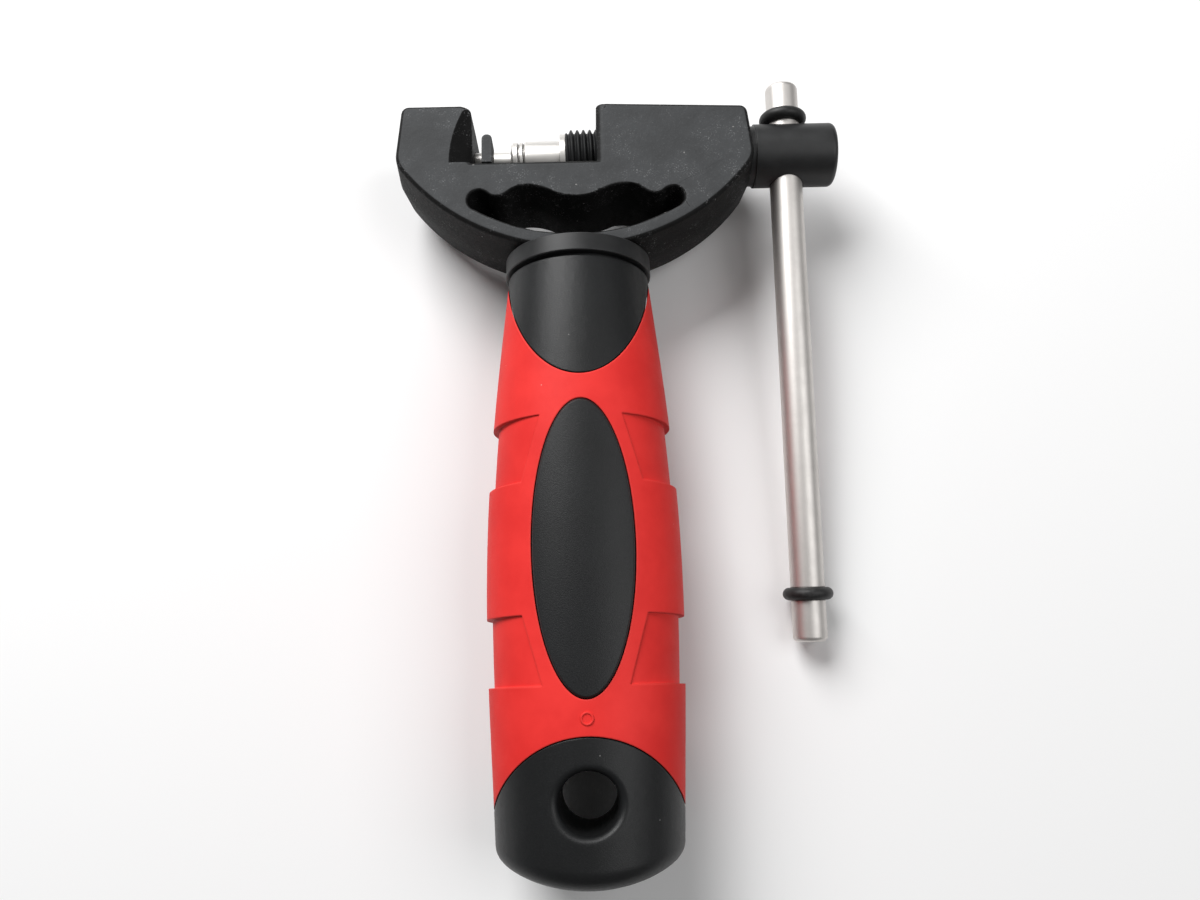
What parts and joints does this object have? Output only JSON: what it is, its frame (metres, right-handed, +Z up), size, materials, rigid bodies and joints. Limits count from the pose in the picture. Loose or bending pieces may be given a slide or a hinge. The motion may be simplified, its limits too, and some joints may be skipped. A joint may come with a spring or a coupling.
{
  "type": "bicycle chain tool",
  "caption": "Chain splitter with a forged slotted head, threaded spindle with drive pin and sliding T-bar, and a two-tone handle with a hang hole.",
  "frame": {"origin": "middle of the hang hole, on the handle's axis halfway through its thickness", "axes": "+Y along the handle to the head, +X along the spindle to its cross-drilled end, +Z up out of the oval panel's side; the tool lies on a surface below it"},
  "size_m": [0.0875, 0.1508, 0.0286],
  "materials": {
    "head_coating": "matte dark grey powder coat on forged steel",
    "collar_black": "satin black coated steel washer",
    "core_plastic": "fine-textured charcoal moulding",
    "grip_red": "soft-touch red overmould",
    "panel_plastic": "fine-textured charcoal moulding, bare",
    "spindle_black": "black oxide on steel",
    "bright_steel": "turned steel",
    "bar_nickel": "satin nickel plate",
    "o_ring_rubber": "black rubber"
  },
  "bodies": {
    "frame": {"head": "head_coating", "collar": "collar_black", "handle_core": "core_plastic", "grip": "grip_red", "oval_panel": "panel_plastic"},
    "drive_pin": {"drive_pin": "bright_steel"},
    "spindle": {"spindle": "spindle_black", "pin_holder": "bright_steel", "snap_ring": "bright_steel"},
    "t_bar": {"t_bar": "bar_nickel", "o_ring_upper": "o_ring_rubber", "o_ring_lower": "o_ring_rubber"}
  },
  "joints": [
    {"name": "pin_advance", "type": "slide", "parent": "frame", "child": "drive_pin", "axis": [1, 0, 0], "range_m": [0, 0.0121]},
    {"name": "spindle_turn", "type": "hinge", "parent": "drive_pin", "child": "spindle", "pos_m": [0, 0.1223, 0], "axis": [1, 0, 0], "range_deg": [0, 3456]},
    {"name": "t_bar_slide", "type": "slide", "parent": "spindle", "child": "t_bar", "axis": [0, 0.9943, 0.1062], "range_m": [0, 0.0803]}
  ],
  "couplings": [
    {"joint": "pin_advance", "follows": "spindle_turn", "m_per_rad": 0.00019894}
  ]
}
